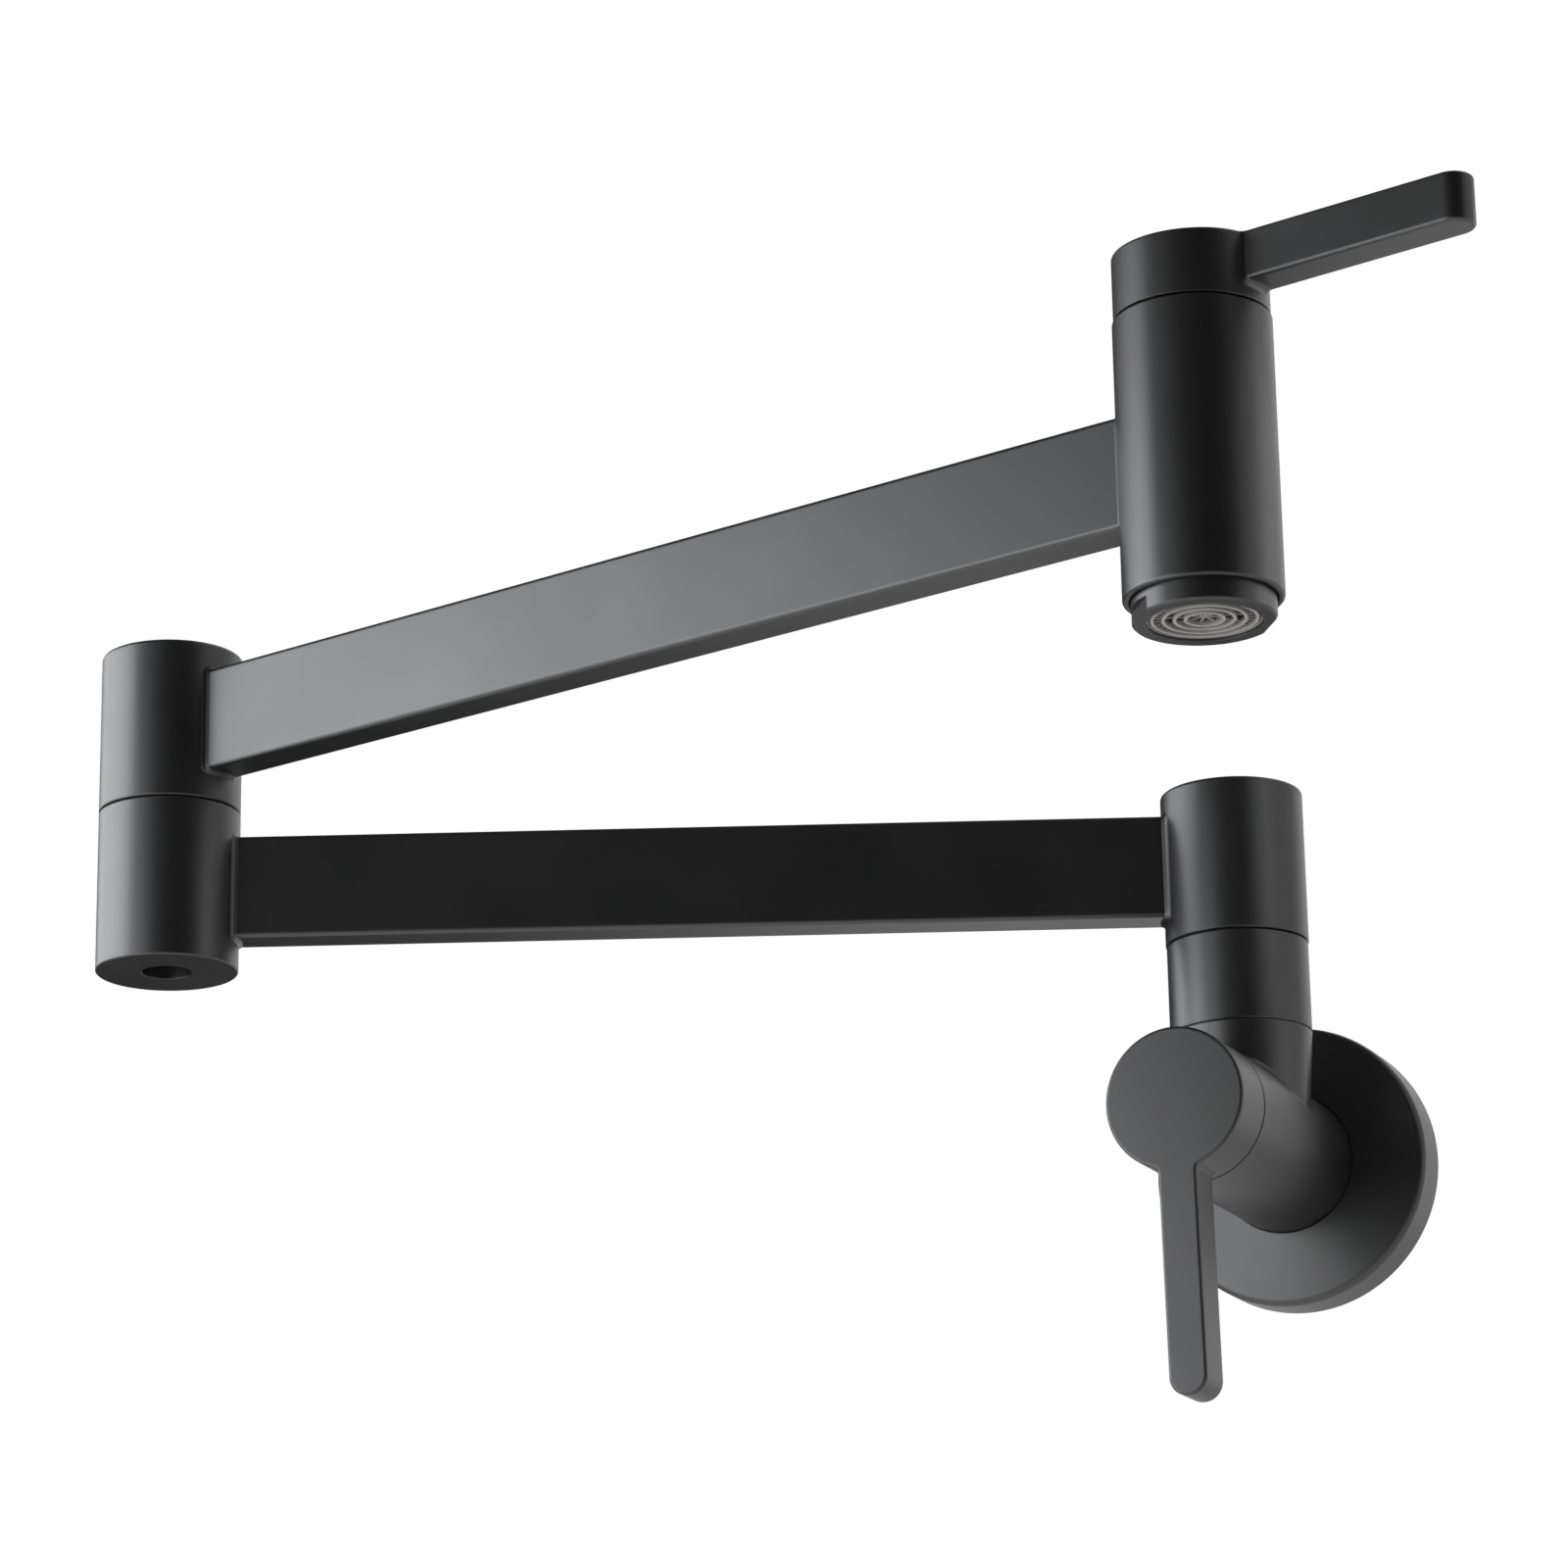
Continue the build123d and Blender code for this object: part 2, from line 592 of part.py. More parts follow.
def lever_handle():
    """A round cup and a flat lever under one slightly crowned face, and the screw that clamps the spindle."""
    radius = handle_diameter / 2
    plan = Pos(lever_reach / 2, 0) * Rectangle(lever_reach, lever_width)
    plan = fillet(plan.vertices().group_by(Axis.X)[-1], lever_tip_radius)
    blade = Pos(0, 0, handle_top - lever_depth) * extrude(plan, lever_depth + cut)
    under = blade.faces().sort_by(Axis.Z)[0].edges()
    blade = fillet([e for e in under if e.center().X > cut], lever_edge_radius)
    body = rod(handle_diameter, handle_gap, handle_top + cut) + blade
    body = fillet([e for e in body.edges() if at_lever_root(e)], lever_root_radius)
    body &= Pos(0, 0, handle_top - handle_crown_radius) * Rot(0, 90, 0) * Cylinder(
        handle_crown_radius, 2 * lever_reach + 2 * cut)
    top_edges = body.faces().sort_by(Axis.Z)[-1].outer_wire().edges()
    body = fillet(top_edges, handle_edge_radius)
    body -= rod(handle_cup_diameter, handle_gap - cut, cup_roof)
    body -= spline(cup_roof - cut, spline_high + end_clearance, running_clearance)
    grub_z = (spline_low + spline_high) / 2
    body -= side_rod(grub_diameter, 0, radius + cut, grub_z, 180)
    grub_tip = spindle_diameter / 2 + running_clearance
    grub = side_rod(grub_diameter, grub_tip, grub_tip + lever_grub_length, grub_z, 180)
    key_low = grub_tip + lever_grub_length / 2
    grub -= Rot(0, 0, 180) * Pos(key_low, 0, grub_z) * Rot(0, 90, 0) * hexagon(
        grub_key, 0, lever_grub_length)
    return body, grub


def at_lever_root(edge):
    """True for an edge where the lever meets the round wall of its cup."""
    middle = edge.position_at(0.5)
    on_wall = abs(math.hypot(middle.X, middle.Y) - handle_diameter / 2) < touch
    return on_wall and middle.X > 0 and middle.Z > handle_gap + touch


make_flange()
make_valve_body()
make_shoulder()
make_lower_arm()
make_elbow()
make_upper_arm()
make_spout()
make_aerator()
make_valve_works("wall", wall_valve, wall_lever_bearing)
make_valve_works("spout", spout_valve, spout_lever_bearing)

os.makedirs("parts", exist_ok=True)
for node, shape in nodes.items():
    export_step(shape, f"parts/{node}.step")
print(len(nodes), "nodes")
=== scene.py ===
"""Looks of a wall-mounted pot-filler faucet: satin black coat on brass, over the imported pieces.

Blender 4.5, metres, in the part's own frame. +Z is up and -Y points out of the wall into the room.
"""

import json
import math

import bmesh
import bpy
from mathutils import Matrix, Vector


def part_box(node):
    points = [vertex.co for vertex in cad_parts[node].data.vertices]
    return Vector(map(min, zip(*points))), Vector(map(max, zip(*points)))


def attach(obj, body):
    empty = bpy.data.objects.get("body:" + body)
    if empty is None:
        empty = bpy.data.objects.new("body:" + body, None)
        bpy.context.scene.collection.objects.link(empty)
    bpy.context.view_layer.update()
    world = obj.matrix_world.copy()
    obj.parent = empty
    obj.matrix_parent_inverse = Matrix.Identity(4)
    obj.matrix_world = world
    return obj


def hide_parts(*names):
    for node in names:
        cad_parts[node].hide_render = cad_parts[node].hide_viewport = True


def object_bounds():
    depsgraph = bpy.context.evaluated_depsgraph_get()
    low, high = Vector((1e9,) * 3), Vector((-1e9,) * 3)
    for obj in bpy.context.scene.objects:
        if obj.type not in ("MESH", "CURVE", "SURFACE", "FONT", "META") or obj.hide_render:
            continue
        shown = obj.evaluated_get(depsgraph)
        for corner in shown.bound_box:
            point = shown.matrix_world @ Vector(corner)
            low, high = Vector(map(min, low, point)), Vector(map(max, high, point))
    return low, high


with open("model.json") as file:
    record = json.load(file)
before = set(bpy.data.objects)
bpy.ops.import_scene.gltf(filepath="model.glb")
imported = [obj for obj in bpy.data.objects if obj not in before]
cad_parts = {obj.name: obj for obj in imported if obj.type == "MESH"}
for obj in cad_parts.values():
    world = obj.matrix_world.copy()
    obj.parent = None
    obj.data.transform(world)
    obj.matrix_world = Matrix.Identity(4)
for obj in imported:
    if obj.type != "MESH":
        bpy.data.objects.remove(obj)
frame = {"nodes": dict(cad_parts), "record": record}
cad_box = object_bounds()

# Wall flange
# A hollow round cover turned from brass, sprayed and baked satin black like the rest of the outside.
# It slides along the barrel until its rim presses a flat rubber ring on the wall.
# A second rubber ring grips the barrel.
mm = 0.001


def linear(colour):
    """An sRGB hex colour as linear red, green, blue and alpha."""
    levels = [int(colour[start:start + 2], 16) / 255 for start in (1, 3, 5)]
    light = [level / 12.92 if level <= 0.04045 else ((level + 0.055) / 1.055) ** 2.4 for level in levels]
    return light + [1.0]


def add(owner, kind, settings):
    """Adds a shader node. A setting is a property, an input's value or the socket linked to an input."""
    node = owner.node_tree.nodes.new("ShaderNode" + kind)
    for key, value in settings.items():
        if isinstance(key, str) and hasattr(node, key):
            setattr(node, key, value)
        elif isinstance(value, bpy.types.NodeSocket):
            owner.node_tree.links.new(value, node.inputs[key])
        else:
            node.inputs[key].default_value = value
    return node


def blank_material(name):
    """A material with no nodes yet."""
    material = bpy.data.materials.new(name)
    material.use_nodes = True
    material.node_tree.nodes.clear()
    return material


def dress(material, *names):
    """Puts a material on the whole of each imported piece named."""
    for name in names:
        slots = frame["nodes"][name].data.materials
        slots.clear()
        slots.append(material)


def satin_black_coat(name, bare_bore=None):
    """Baked black coat on brass: a soft sheen, faint orange peel, a rare dust nib, and edges lighter,
    partly thinner coat, partly painted highlight.
    A bore about the Y axis, given as radius and depth, is cut after coating and shows its brass."""
    peel_cell = 1.6 * mm
    peel_height = 0.0018 * mm
    grain_cell = 0.45 * mm  # the real grain is about 0.05 mm, drawn coarser so that it shows
    grain_height = 0.0005 * mm
    nib_spacing = 7 * mm
    nib_radius = 0.2 * mm
    nib_height = 0.03 * mm
    patch_cell = 24 * mm
    patch_spread = (0.3, 0.7)
    roughness = (0.36, 0.40)
    edge_width = 0.4 * mm
    edge_cosines = (0.99, 0.8)
    edge_wear_and_highlight = 0.5
    material = blank_material(name)
    place = add(material, "TexCoord", {}).outputs["Object"]
    peel = add(material, "TexNoise", {"Vector": place, "Scale": 1 / peel_cell, "Detail": 2.0})
    grain = add(material, "TexNoise", {"Vector": place, "Scale": 1 / grain_cell, "Detail": 3.0})
    patch = add(material, "TexNoise", {"Vector": place, "Scale": 1 / patch_cell, "Detail": 4.0})
    dust = add(material, "TexVoronoi", {"Vector": place, "Scale": 1 / nib_spacing})
    nib = add(material, "MapRange", {
        "Value": dust.outputs["Distance"], "From Max": nib_radius / nib_spacing,
        "To Min": 1.0, "To Max": 0.0})
    soft_edge = add(material, "Bevel", {"samples": 4, "Radius": edge_width})
    waves = add(material, "Bump", {
        "Height": peel.outputs["Fac"], "Distance": peel_height, "Normal": soft_edge.outputs["Normal"]})
    pores = add(material, "Bump", {
        "Height": grain.outputs["Fac"], "Distance": grain_height, "Normal": waves.outputs["Normal"]})
    relief = add(material, "Bump", {
        "Height": nib.outputs["Result"], "Distance": nib_height, "Normal": pores.outputs["Normal"]})
    facing = add(material, "VectorMath", {
        "operation": "DOT_PRODUCT", 0: soft_edge.outputs["Normal"],
        1: add(material, "NewGeometry", {}).outputs["Normal"]})
    # The edges are painted lighter: partly a thinner coat, partly a painted highlight where edges catch the
    # light.
    edge = add(material, "MapRange", {
        "Value": facing.outputs["Value"], "From Min": edge_cosines[0], "From Max": edge_cosines[1],
        "To Max": edge_wear_and_highlight})
    body = add(material, "Mix", {
        "data_type": "RGBA", "Factor": patch.outputs["Fac"],
        "A": linear("#07080a"), "B": linear("#0b0c0f")})
    tone = add(material, "Mix", {
        "data_type": "RGBA", "Factor": edge.outputs["Result"],
        "A": body.outputs["Result"], "B": linear("#2a2b2c")})
    sheen = add(material, "MapRange", {
        "Value": patch.outputs["Fac"], "From Min": patch_spread[0], "From Max": patch_spread[1],
        "To Min": roughness[0], "To Max": roughness[1]})
    shader = add(material, "BsdfPrincipled", {
        "Base Color": tone.outputs["Result"], "Roughness": sheen.outputs["Result"],
        "Normal": relief.outputs["Normal"], "IOR": 1.8})
    surface = shader.outputs["BSDF"]
    if bare_bore:
        radius, depth = bare_bore
        brass = add(material, "BsdfPrincipled", {
            "Base Color": linear("#c7a25a"), "Metallic": 1.0, "Roughness": 0.28})
        across = add(material, "VectorMath", {"operation": "MULTIPLY", 0: place, 1: (1, 0, 1)})
        reach = add(material, "VectorMath", {"operation": "LENGTH", 0: across.outputs["Vector"]})
        near_axis = add(material, "Math", {
            "operation": "LESS_THAN", 0: reach.outputs["Value"], 1: radius})
        along = add(material, "SeparateXYZ", {"Vector": place}).outputs["Y"]
        near_wall = add(material, "Math", {"operation": "GREATER_THAN", 0: along, 1: -depth})
        bare = add(material, "Math", {
            "operation": "MULTIPLY", 0: near_axis.outputs[0], 1: near_wall.outputs[0]})
        mixed = add(material, "MixShader", {0: bare.outputs[0], 1: surface, 2: brass.outputs["BSDF"]})
        surface = mixed.outputs["Shader"]
    add(material, "OutputMaterial", {"Surface": surface})
    return material


def moulded_rubber():
    """Black nitrile rubber, moulded: dull, a little mottled and dusty."""
    skin_cell = 0.5 * mm
    skin_height = 0.01 * mm
    bloom_cell = 12 * mm
    material = blank_material("moulded_black_nitrile_rubber")
    place = add(material, "TexCoord", {}).outputs["Object"]
    skin = add(material, "TexNoise", {"Vector": place, "Scale": 1 / skin_cell, "Detail": 3.0})
    bloom = add(material, "TexNoise", {"Vector": place, "Scale": 1 / bloom_cell, "Detail": 5.0})
    tone = add(material, "Mix", {
        "data_type": "RGBA", "Factor": bloom.outputs["Fac"],
        "A": linear("#141415"), "B": linear("#262626")})
    relief = add(material, "Bump", {"Height": skin.outputs["Fac"], "Distance": skin_height})
    shader = add(material, "BsdfPrincipled", {
        "Base Color": tone.outputs["Result"], "Roughness": 0.62, "Normal": relief.outputs["Normal"]})
    add(material, "OutputMaterial", {"Surface": shader.outputs["BSDF"]})
    return material


satin_black = satin_black_coat("satin_black_coat_on_brass")
nitrile_rubber = moulded_rubber()
dress(satin_black, "wall_flange")
dress(nitrile_rubber, "wall_gasket", "flange_o_ring")

# Valve body
# A brass casting, coated outside: a barrel out of the wall and a branch up to the swivel.
# Its back is tapped for the supply pipe after coating, so the half-inch pipe thread is bare brass.
inlet = next(mount for mount in frame["record"]["mounts"] if mount["name"] == "inlet")
inlet_radius = inlet["dims"]["r_mm"] * mm
inlet_depth = inlet["dims"]["length_mm"] * mm
thread_pitch = 1.814 * mm
thread_height = 1.16 * mm
thread_columns = 120
thread_rows_per_turn = 10
thread_runout = 1.5 * mm
slack = 0.05 * mm


def thread_radius(depth, turn):
    """How far the tapped wall is from the axis. The thread fades out at both ends of the bore."""
    phase = (depth / thread_pitch - turn) % 1.0
    flank = 1.0 - abs(2.0 * phase - 1.0)
    fade = min(1.0, depth / thread_runout, (inlet_depth - depth) / thread_runout)
    return inlet_radius + thread_height * flank * fade


casting = bpy.data.objects.new("valve_casting", frame["nodes"]["valve_body"].data.copy())
bpy.context.scene.collection.objects.link(casting)
shell = bmesh.new()
shell.from_mesh(casting.data)
smooth_bore = [
    face for face in shell.faces
    if all(abs(math.hypot(vert.co.x, vert.co.z) - inlet_radius) < slack
           and vert.co.y > -inlet_depth - slack for vert in face.verts)]
bmesh.ops.delete(shell, geom=smooth_bore, context="FACES")
rows = round(inlet_depth / thread_pitch * thread_rows_per_turn)
rings = []
for row in range(rows + 1):
    depth = inlet_depth * row / rows
    ring = []
    for column in range(thread_columns):
        turn = column / thread_columns
        radius = thread_radius(depth, turn)
        ring.append(shell.verts.new((
            radius * math.cos(math.tau * turn), -depth, radius * math.sin(math.tau * turn))))
    rings.append(ring)
for outer, inner in zip(rings, rings[1:]):
    for here in range(thread_columns):
        beside = (here + 1) % thread_columns
        shell.faces.new((outer[here], outer[beside], inner[beside], inner[here])).smooth = True
shell.to_mesh(casting.data)
shell.free()
casting.data.materials.clear()
casting.data.materials.append(satin_black_coat(
    "satin_black_coat_with_bare_brass_inlet",
    (inlet_radius + thread_height + slack, inlet_depth + slack)))
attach(casting, "wall_mount")
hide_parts("valve_body")

# Shoulder swivel
# A coated collar screwed down on the branch by a hollow brass spigot, which the arm's hub turns round.
# Two rubber rings seal the water, and the hub runs on a washer of white acetal.


def turned_metal(name, dark, light, axis, roughness):
    """Bare metal off the lathe: fine rings of tool marks across its axis, a little uneven in tone."""
    feed = 0.25 * mm  # a real feed is about 0.08 mm, drawn coarser so that it shows
    mark_height = 0.003 * mm
    patch_cell = 6 * mm
    unevenness = 0.06
    material = blank_material(name)
    place = add(material, "TexCoord", {}).outputs["Object"]
    along = add(material, "SeparateXYZ", {"Vector": place}).outputs[axis]
    marks = add(material, "TexNoise", {
        "noise_dimensions": "1D", "W": along, "Scale": 1 / feed, "Detail": 2.0})
    patch = add(material, "TexNoise", {"Vector": place, "Scale": 1 / patch_cell, "Detail": 4.0})
    tone = add(material, "Mix", {
        "data_type": "RGBA", "Factor": patch.outputs["Fac"], "A": linear(dark), "B": linear(light)})
    relief = add(material, "Bump", {"Height": marks.outputs["Fac"], "Distance": mark_height})
    sheen = add(material, "MapRange", {
        "Value": marks.outputs["Fac"], "To Min": roughness - unevenness, "To Max": roughness + unevenness})
    shader = add(material, "BsdfPrincipled", {
        "Base Color": tone.outputs["Result"], "Metallic": 1.0, "Roughness": sheen.outputs["Result"],
        "Normal": relief.outputs["Normal"]})
    add(material, "OutputMaterial", {"Surface": shader.outputs["BSDF"]})
    return material


def moulded_acetal(name, dark, light):
    """Acetal, injection-moulded: waxy and faintly clouded, with a fine skin off the mould."""
    skin_cell = 0.3 * mm
    skin_height = 0.003 * mm
    cloud_cell = 4 * mm
    material = blank_material(name)
    place = add(material, "TexCoord", {}).outputs["Object"]
    skin = add(material, "TexNoise", {"Vector": place, "Scale": 1 / skin_cell, "Detail": 2.0})
    cloud = add(material, "TexNoise", {"Vector": place, "Scale": 1 / cloud_cell, "Detail": 3.0})
    tone = add(material, "Mix", {
        "data_type": "RGBA", "Factor": cloud.outputs["Fac"], "A": linear(dark), "B": linear(light)})
    relief = add(material, "Bump", {"Height": skin.outputs["Fac"], "Distance": skin_height})
    shader = add(material, "BsdfPrincipled", {
        "Base Color": tone.outputs["Result"], "Roughness": 0.42, "IOR": 1.48,
        "Normal": relief.outputs["Normal"]})
    add(material, "OutputMaterial", {"Surface": shader.outputs["BSDF"]})
    return material


upright_brass = turned_metal("turned_brass_upright", "#b78f45", "#d0ad66", "Z", 0.30)
white_acetal = moulded_acetal("moulded_white_acetal", "#dcdad3", "#ecebe5")
dress(satin_black, "swivel_collar")
dress(upright_brass, "shoulder_spigot")
dress(white_acetal, "shoulder_thrust_washer")
dress(nitrile_rubber, "shoulder_o_rings")

# Cartridges
# Each valve holds a brass cartridge with a rubber seat seal, two lapped alumina discs and a spindle.
# A rubber ring seals the spindle and a stainless clip keeps it in.
# The wall's lies along Y and the spout's along Z, so their lathe marks run round those axes.


def lapped_alumina():
    """Fired and lapped alumina: ivory white, dense, with a close polish."""
    grain_cell = 0.4 * mm  # the real grain is about 0.005 mm, drawn coarser so that it shows
    material = blank_material("lapped_alumina_ceramic")
    place = add(material, "TexCoord", {}).outputs["Object"]
    grain = add(material, "TexNoise", {"Vector": place, "Scale": 1 / grain_cell, "Detail": 4.0})
    tone = add(material, "Mix", {
        "data_type": "RGBA", "Factor": grain.outputs["Fac"],
        "A": linear("#e4dfd3"), "B": linear("#f2efe7")})
    shader = add(material, "BsdfPrincipled", {
        "Base Color": tone.outputs["Result"], "Roughness": 0.14, "IOR": 1.76})
    add(material, "OutputMaterial", {"Surface": shader.outputs["BSDF"]})
    return material


alumina = lapped_alumina()
level_brass = turned_metal("turned_brass_level", "#b78f45", "#d0ad66", "Y", 0.30)
upright_steel = turned_metal("turned_stainless_steel_upright", "#a9a7a2", "#c6c4bf", "Z", 0.28)
level_steel = turned_metal("turned_stainless_steel_level", "#a9a7a2", "#c6c4bf", "Y", 0.28)
for valve, brass, steel in (("wall", level_brass, level_steel), ("spout", upright_brass, upright_steel)):
    dress(brass, f"{valve}_cartridge_housing", f"{valve}_spindle")
    dress(steel, f"{valve}_spindle_clip")
    dress(alumina, f"{valve}_fixed_disc", f"{valve}_turning_disc")
    dress(nitrile_rubber, f"{valve}_cartridge_seal", f"{valve}_spindle_o_ring")

# Lever handles
# Two like castings: a round cup over the spindle's splines with a flat lever flush with its face.
# Each is coated like the body. A stainless socket screw in the cup's side, away from the lever, clamps it.
dress(satin_black, "wall_handle", "spout_handle")
dress(level_steel, "wall_handle_screw", "spout_handle_screw")

# Lower arm
# A flat drawn brass tube brazed into the pockets of two turned hubs, then coated as one piece.
# A stainless grub screw in the shoulder hub runs in a groove of the spigot and keeps the arm on it.
dress(satin_black, "shoulder_hub", "lower_arm_bar", "elbow_lower_hub")
dress(level_steel, "shoulder_grub_screw")
tube_thickness = 9.8 * mm
tube_edge_radius = 1.0 * mm
braze_radius = 1.2 * mm
braze_root = 0.3 * mm
braze_overlap = 0.02 * mm


def tube_outline(height):
    """Points round a tube's section, each with its direction outward. X is across the tube and Y is up."""
    corner_steps = 6
    flat_steps = 8
    inset = Vector((tube_thickness / 2 - tube_edge_radius, height / 2 - tube_edge_radius))
    rounded = []
    for quarter, signs in enumerate(((1, 1), (-1, 1), (-1, -1), (1, -1))):
        for step in range(corner_steps + 1):
            angle = math.pi / 2 * (quarter + step / corner_steps)
            outward = Vector((math.cos(angle), math.sin(angle)))
            rounded.append((inset * Vector(signs) + tube_edge_radius * outward, outward))
    outline = []
    for (point, outward), (following, _) in zip(rounded, rounded[1:] + rounded[:1]):
        steps = flat_steps if (following - point).length > tube_edge_radius else 1
        outline += [(point.lerp(following, step / steps), outward) for step in range(steps)]
    return outline


def braze_fillet(name, hub, tube, body):
    """The hollow fillet of braze round a tube where it enters a round hub, coated with them."""
    arc_steps = 8
    hub_low, hub_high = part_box(hub)
    tube_low, tube_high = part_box(tube)
    hub_radius = (hub_high.x - hub_low.x) / 2
    start = (hub_low + hub_high) / 2
    start.z = (tube_low.z + tube_high.z) / 2
    along = ((tube_low + tube_high) / 2 - start).normalized()
    across = Vector((-along.y, along.x, 0))
    up = Vector((0, 0, 1))
    profile = [(-braze_root, -braze_root)]
    for step in range(arc_steps + 1):
        angle = math.pi / 2 * step / arc_steps
        profile.append((
            braze_radius * (1 - math.cos(angle)) - braze_overlap,
            braze_radius * (1 - math.sin(angle)) - braze_overlap))
    bead = bmesh.new()
    rings = []
    for point, outward in tube_outline(tube_high.z - tube_low.z):
        ring = []
        for off_tube, off_hub in profile:
            side = point + off_tube * outward
            reach = math.sqrt(hub_radius ** 2 - side.x ** 2) + off_hub
            ring.append(bead.verts.new(start + reach * along + side.x * across + side.y * up))
        rings.append(ring)
    for ring, following in zip(rings, rings[1:] + rings[:1]):
        for here in range(len(profile)):
            beside = (here + 1) % len(profile)
            bead.faces.new((ring[here], ring[beside], following[beside], following[here])).smooth = True
        for toe in (1, len(profile) - 1):
            bead.edges.get((ring[toe], following[toe])).smooth = False
    bmesh.ops.recalc_face_normals(bead, faces=bead.faces)
    piece = bpy.data.objects.new(name, bpy.data.meshes.new(name))
    bead.to_mesh(piece.data)
    bead.free()
    bpy.context.scene.collection.objects.link(piece)
    piece.data.materials.append(satin_black)
    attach(piece, body)


braze_fillet("shoulder_braze", "shoulder_hub", "lower_arm_bar", "lower_arm")
braze_fillet("elbow_lower_braze", "elbow_lower_hub", "lower_arm_bar", "lower_arm")

# Elbow
# A brass spigot screwed up into the upper hub turns in the lower one, on rubber rings and an acetal washer.
# A socket screw and its washer, sunk in the underside of the lower hub, hold the two together; their near
# black is painted shade.
recess_shade_steel = turned_metal("steel_painted_near_black_as_recess_shade", "#1b1b1c", "#2a2a2b", "Z", 0.38)
dress(upright_brass, "elbow_spigot")
dress(nitrile_rubber, "elbow_o_rings")
dress(white_acetal, "elbow_thrust_washer")
dress(recess_shade_steel, "elbow_screw", "elbow_screw_washer")

# Upper arm and spout
# Made like the lower arm: a flat brass tube brazed between the elbow's upper hub and the round spout body.
# The three are coated as one piece.
dress(satin_black, "elbow_upper_hub", "upper_arm_bar", "spout_body")
braze_fillet("elbow_upper_braze", "elbow_upper_hub", "upper_arm_bar", "upper_arm")
braze_fillet("spout_braze", "spout_body", "upper_arm_bar", "upper_arm")

# Aerator
# A coated brass ring with two flats for a wrench, screwed into the spout's mouth on a rubber washer.
# It holds a ribbed insert of grey acetal and a punched stainless screen, which break the water up.
insert_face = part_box("aerator_insert")[0].z


def limed_acetal_with_painted_shade():
    """Grey acetal, moulded. Hard water has left a cloud of lime on its open rings. Deeper in the channels
    it turns near black as painted shade.
    """
    painted_shade_depth = (0.2 * mm, 1.8 * mm)
    lime_cell = 1.5 * mm
    lime_height = 0.01 * mm
    material = blank_material("moulded_grey_acetal_with_lime_and_painted_shade")
    place = add(material, "TexCoord", {}).outputs["Object"]
    cloud = add(material, "TexNoise", {"Vector": place, "Scale": 1 / lime_cell, "Detail": 3.0})
    lime = add(material, "Mix", {
        "data_type": "RGBA", "Factor": cloud.outputs["Fac"],
        "A": linear("#96948f"), "B": linear("#aeaca8")})
    # Painted shade: a little way into the channels the colour turns near black.
    height = add(material, "SeparateXYZ", {"Vector": place}).outputs["Z"]
    painted_shade = add(material, "MapRange", {
        "Value": height,
        "From Min": insert_face + painted_shade_depth[0], "From Max": insert_face + painted_shade_depth[1]})
    tone = add(material, "Mix", {
        "data_type": "RGBA", "Factor": painted_shade.outputs["Result"],
        "A": lime.outputs["Result"], "B": linear("#1e1e1d")})
    relief = add(material, "Bump", {"Height": cloud.outputs["Fac"], "Distance": lime_height})
    shader = add(material, "BsdfPrincipled", {
        "Base Color": tone.outputs["Result"], "Roughness": 0.42, "IOR": 1.48,
        "Normal": relief.outputs["Normal"]})
    add(material, "OutputMaterial", {"Surface": shader.outputs["BSDF"]})
    return material


dress(satin_black, "aerator_housing")
dress(limed_acetal_with_painted_shade(), "aerator_insert")
dress(upright_steel, "aerator_screen")
dress(nitrile_rubber, "aerator_washer")

# Floor
# A plain pale sheet under the faucet, at about the height of a stove top, with the faucet's soft shadow.
# Far from the faucet it goes over into the white of the room, so that no edge shows.
floor_drop = 0.6
floor_width = 14
floor_fade = (2.2, 5.0)


def seen_rays(owner):
    """A socket that is 1 for rays from the camera, a reflection or a clear material, and 0 for others."""
    ray = add(owner, "LightPath", {}).outputs
    seen = add(owner, "Math", {"operation": "MAXIMUM", 0: ray["Is Camera Ray"], 1: ray["Is Glossy Ray"]})
    seen = add(owner, "Math", {"operation": "MAXIMUM", 0: seen.outputs[0], 1: ray["Is Transmission Ray"]})
    return seen.outputs[0]


bpy.ops.mesh.primitive_plane_add(size=floor_width, location=(0, 0, -floor_drop))
floor = bpy.context.object
floor.name = "floor"
pale_paint = blank_material("pale_matt_paint")
place = add(pale_paint, "TexCoord", {}).outputs["Object"]
reach = add(pale_paint, "VectorMath", {"operation": "LENGTH", 0: place})
far = add(pale_paint, "MapRange", {
    "interpolation_type": "SMOOTHSTEP", "Value": reach.outputs["Value"],
    "From Min": floor_fade[0], "From Max": floor_fade[1]})
white_share = add(pale_paint, "Math", {
    "operation": "MULTIPLY", 0: far.outputs["Result"], 1: seen_rays(pale_paint)})
matt = add(pale_paint, "BsdfPrincipled", {
    "Base Color": linear("#f4f4f2"), "Roughness": 1.0, "Specular IOR Level": 0.0})
white = add(pale_paint, "Emission", {"Color": linear("#ffffff")})
mixed = add(pale_paint, "MixShader", {
    0: white_share.outputs[0], 1: matt.outputs["BSDF"], 2: white.outputs["Emission"]})
add(pale_paint, "OutputMaterial", {"Surface": mixed.outputs["Shader"]})
floor.data.materials.append(pale_paint)

# Studio light
# A white room: plain white to the camera and in reflections, and a little weaker as a light on the object.
# Four softboxes stand on the left and two weak ones on the right, and the camera sees none of them.
# Cloth flags keep the white of the room off the black coat, so that its round pieces shade off.
room_light = 0.65
room = bpy.data.worlds.new("white_room")
bpy.context.scene.world = room
room.use_nodes = True
room.node_tree.nodes.clear()
level = add(room, "MapRange", {"Value": seen_rays(room), "To Min": room_light, "To Max": 1.0})
sky = add(room, "Background", {"Color": linear("#ffffff"), "Strength": level.outputs["Result"]})
add(room, "OutputWorld", {"Surface": sky.outputs["Background"]})
middle = (cad_box[0] + cad_box[1]) / 2


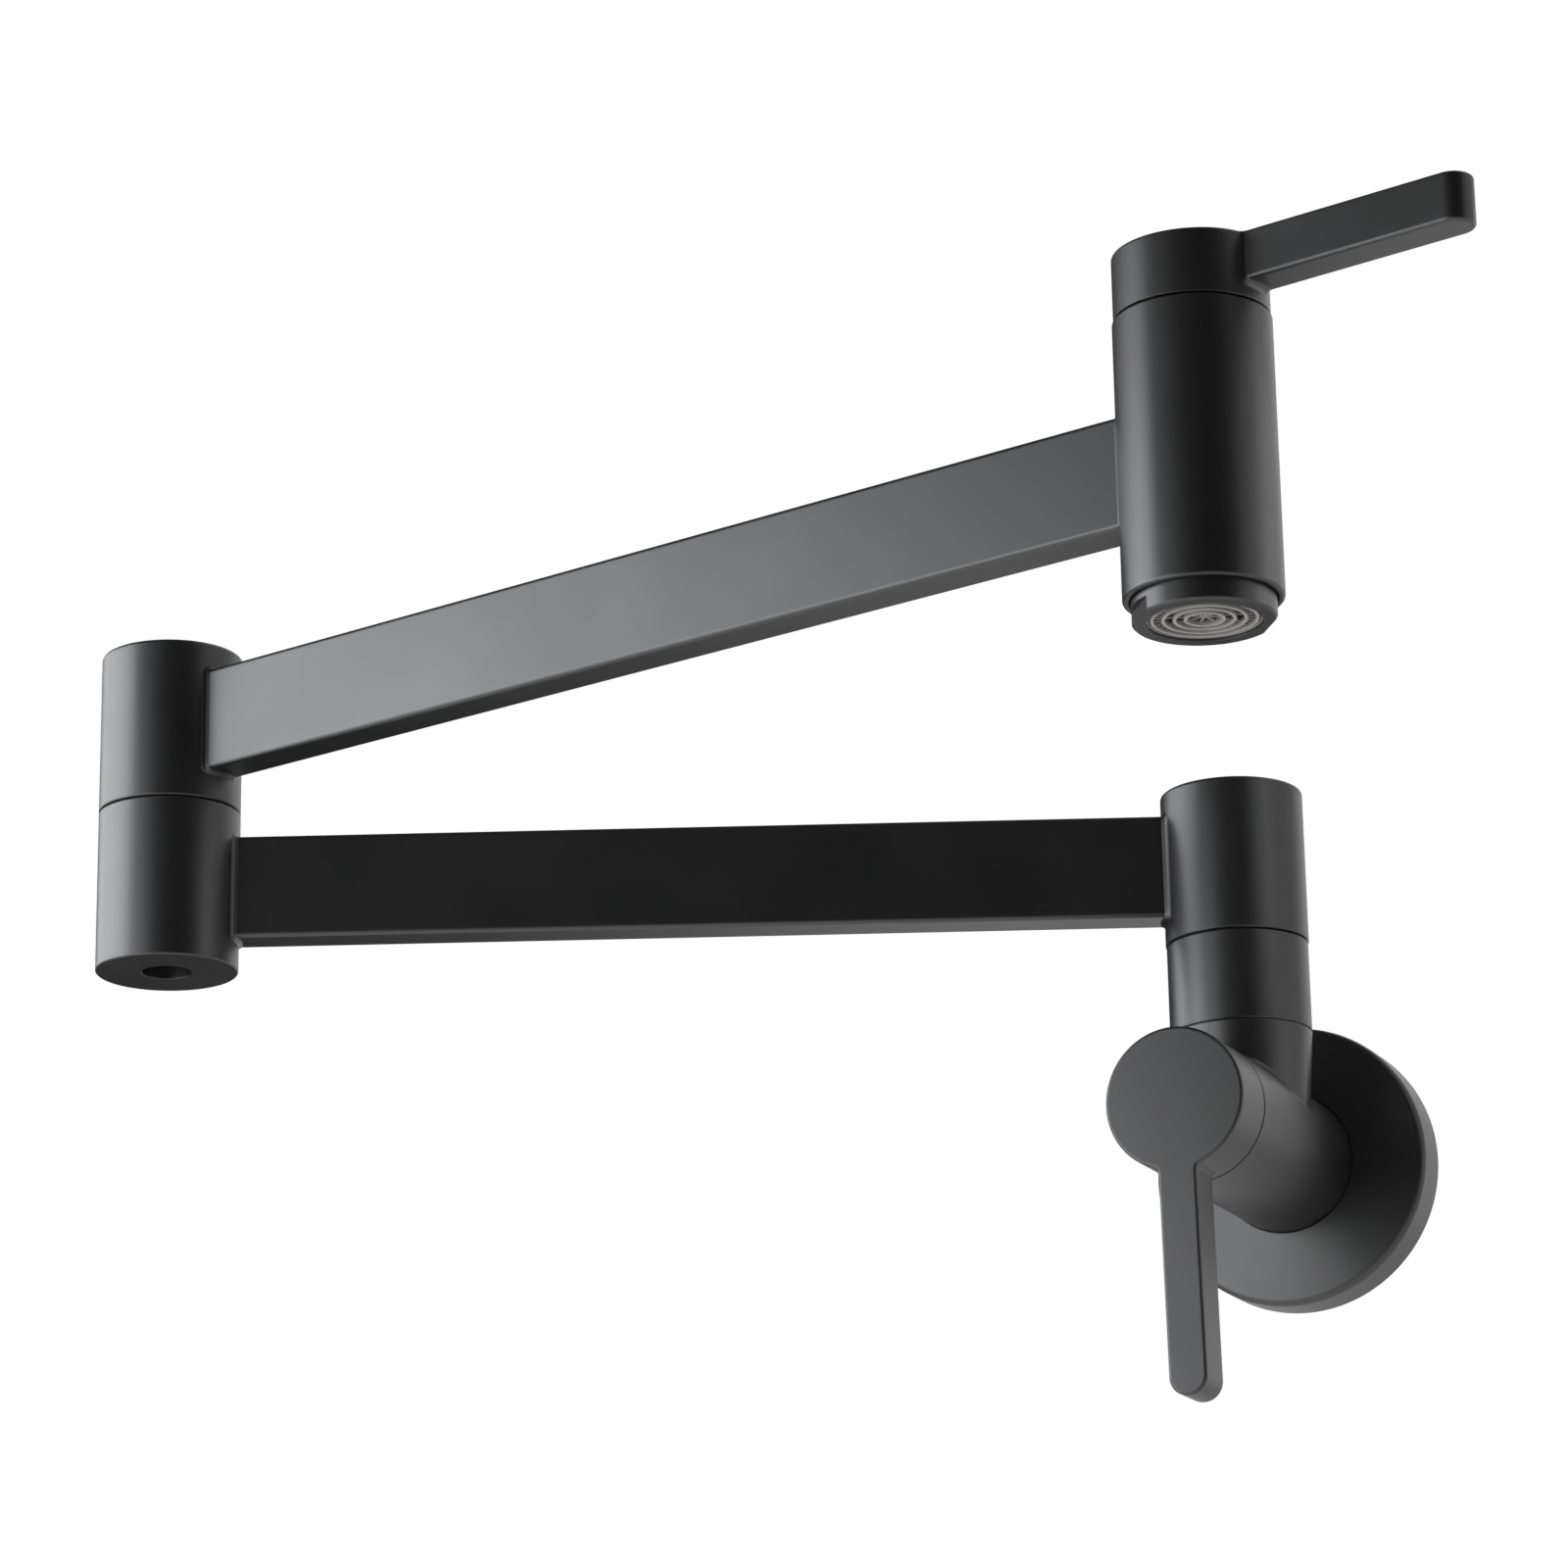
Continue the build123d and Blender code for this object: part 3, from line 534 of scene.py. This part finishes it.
def stand(thing, azimuth, distance, height):
    """Stands a lamp or a flag round the object and turns it to the middle.
    Azimuth 0 is straight in front of the wall and grows to the right. The height is above the middle."""
    turn = math.radians(azimuth)
    thing.location = middle + Vector((distance * math.sin(turn), -distance * math.cos(turn), height))
    thing.rotation_euler = (middle - thing.location).to_track_quat("-Z", "Y").to_euler()


def softbox(name, width, tall, brightness):
    """A flat lamp. Its brightness is in units of the white of the room."""
    lamp = bpy.data.lights.new(name, "AREA")
    lamp.shape = "RECTANGLE"
    lamp.size = width
    lamp.size_y = tall
    lamp.energy = math.pi * width * tall * brightness
    lamp.color = linear("#fbfcff")[:3]
    holder = bpy.data.objects.new(name, lamp)
    holder.visible_camera = False
    bpy.context.scene.collection.objects.link(holder)
    return holder


def flag(name, width, tall, cloth):
    """A stretched cloth that reflections show in place of the white room. It is out of the camera's sight,
    casts no shadow and gives the object no diffuse light."""
    bpy.ops.mesh.primitive_plane_add(size=1)
    sheet = bpy.context.object
    sheet.name = name
    sheet.scale = (width, tall, 1)
    sheet.visible_camera = False
    sheet.visible_diffuse = False
    sheet.visible_shadow = False
    sheet.data.materials.append(cloth)
    return sheet


def matt_cloth(name, colour):
    """Studio cloth with no shine."""
    material = blank_material(name)
    face = add(material, "BsdfPrincipled", {"Base Color": linear(colour), "Roughness": 1.0})
    add(material, "OutputMaterial", {"Surface": face.outputs["BSDF"]})
    return material


black_cloth = matt_cloth("matt_black_cloth", "#1c1c1c")
grey_cloth = matt_cloth("matt_grey_cloth", "#6a6a6a")
pale_cloth = matt_cloth("matt_pale_cloth", "#dadada")
stand(softbox("left_softbox", 0.62, 0.40, 4.9), -62, 0.78, 0.18)
stand(softbox("low_softbox", 0.78, 0.40, 2.6), -46, 0.78, -0.23)
stand(softbox("left_strip", 0.35, 0.35, 3.0), -97, 0.78, 0.18)
stand(softbox("front_strip", 0.34, 0.24, 2.5), -23, 0.78, 0.02)
stand(softbox("right_strip", 0.70, 0.30, 0.5), 95, 0.95, 0.0)
stand(softbox("near_strip", 0.09, 0.10, 0.8), 87, 0.223, 0.075)
stand(flag("front_flag", 3.4, 2.4, black_cloth), 34, 1.65, 0.5)
stand(flag("right_flag", 2.2, 2.4, pale_cloth), 110, 1.65, 0.5)
stand(flag("lamp_flag", 2.0, 2.4, black_cloth), -58, 1.5, 0.4)
stand(flag("left_flag", 1.8, 2.0, black_cloth), -126, 1.5, 0.35)
stand(flag("top_flag", 2.6, 2.6, grey_cloth), -45, 0.5, 1.05)
stand(flag("back_flag", 0.6, 0.45, black_cloth), -122, 0.66, -0.16)

# Camera
# It stands in front of the wall, to the right of the faucet and below it, and looks up.
# Its place, roll and lens were fitted to the photograph.
view_azimuth = math.radians(24.81)
view_tilt = math.radians(17.36)
view_roll = math.radians(0.974)
view_target = Vector((-94.7, -73.7, 86.8)) * mm
view_distance = 1180.2 * mm
camera = bpy.data.objects.new("camera", bpy.data.cameras.new("camera"))
bpy.context.scene.collection.objects.link(camera)
look = (Matrix.Rotation(view_azimuth, 4, "Z") @ Matrix.Rotation(view_tilt, 4, "X")
        @ Matrix.Rotation(view_roll, 4, "Y") @ Matrix.Rotation(math.radians(90), 4, "X"))
camera.matrix_world = (Matrix.Translation(view_target) @ look
                       @ Matrix.Translation((0, 0, view_distance)))
camera.data.sensor_width = 36
camera.data.lens = 118.95
bpy.context.scene.camera = camera
bpy.context.scene.view_settings.view_transform = "Standard"
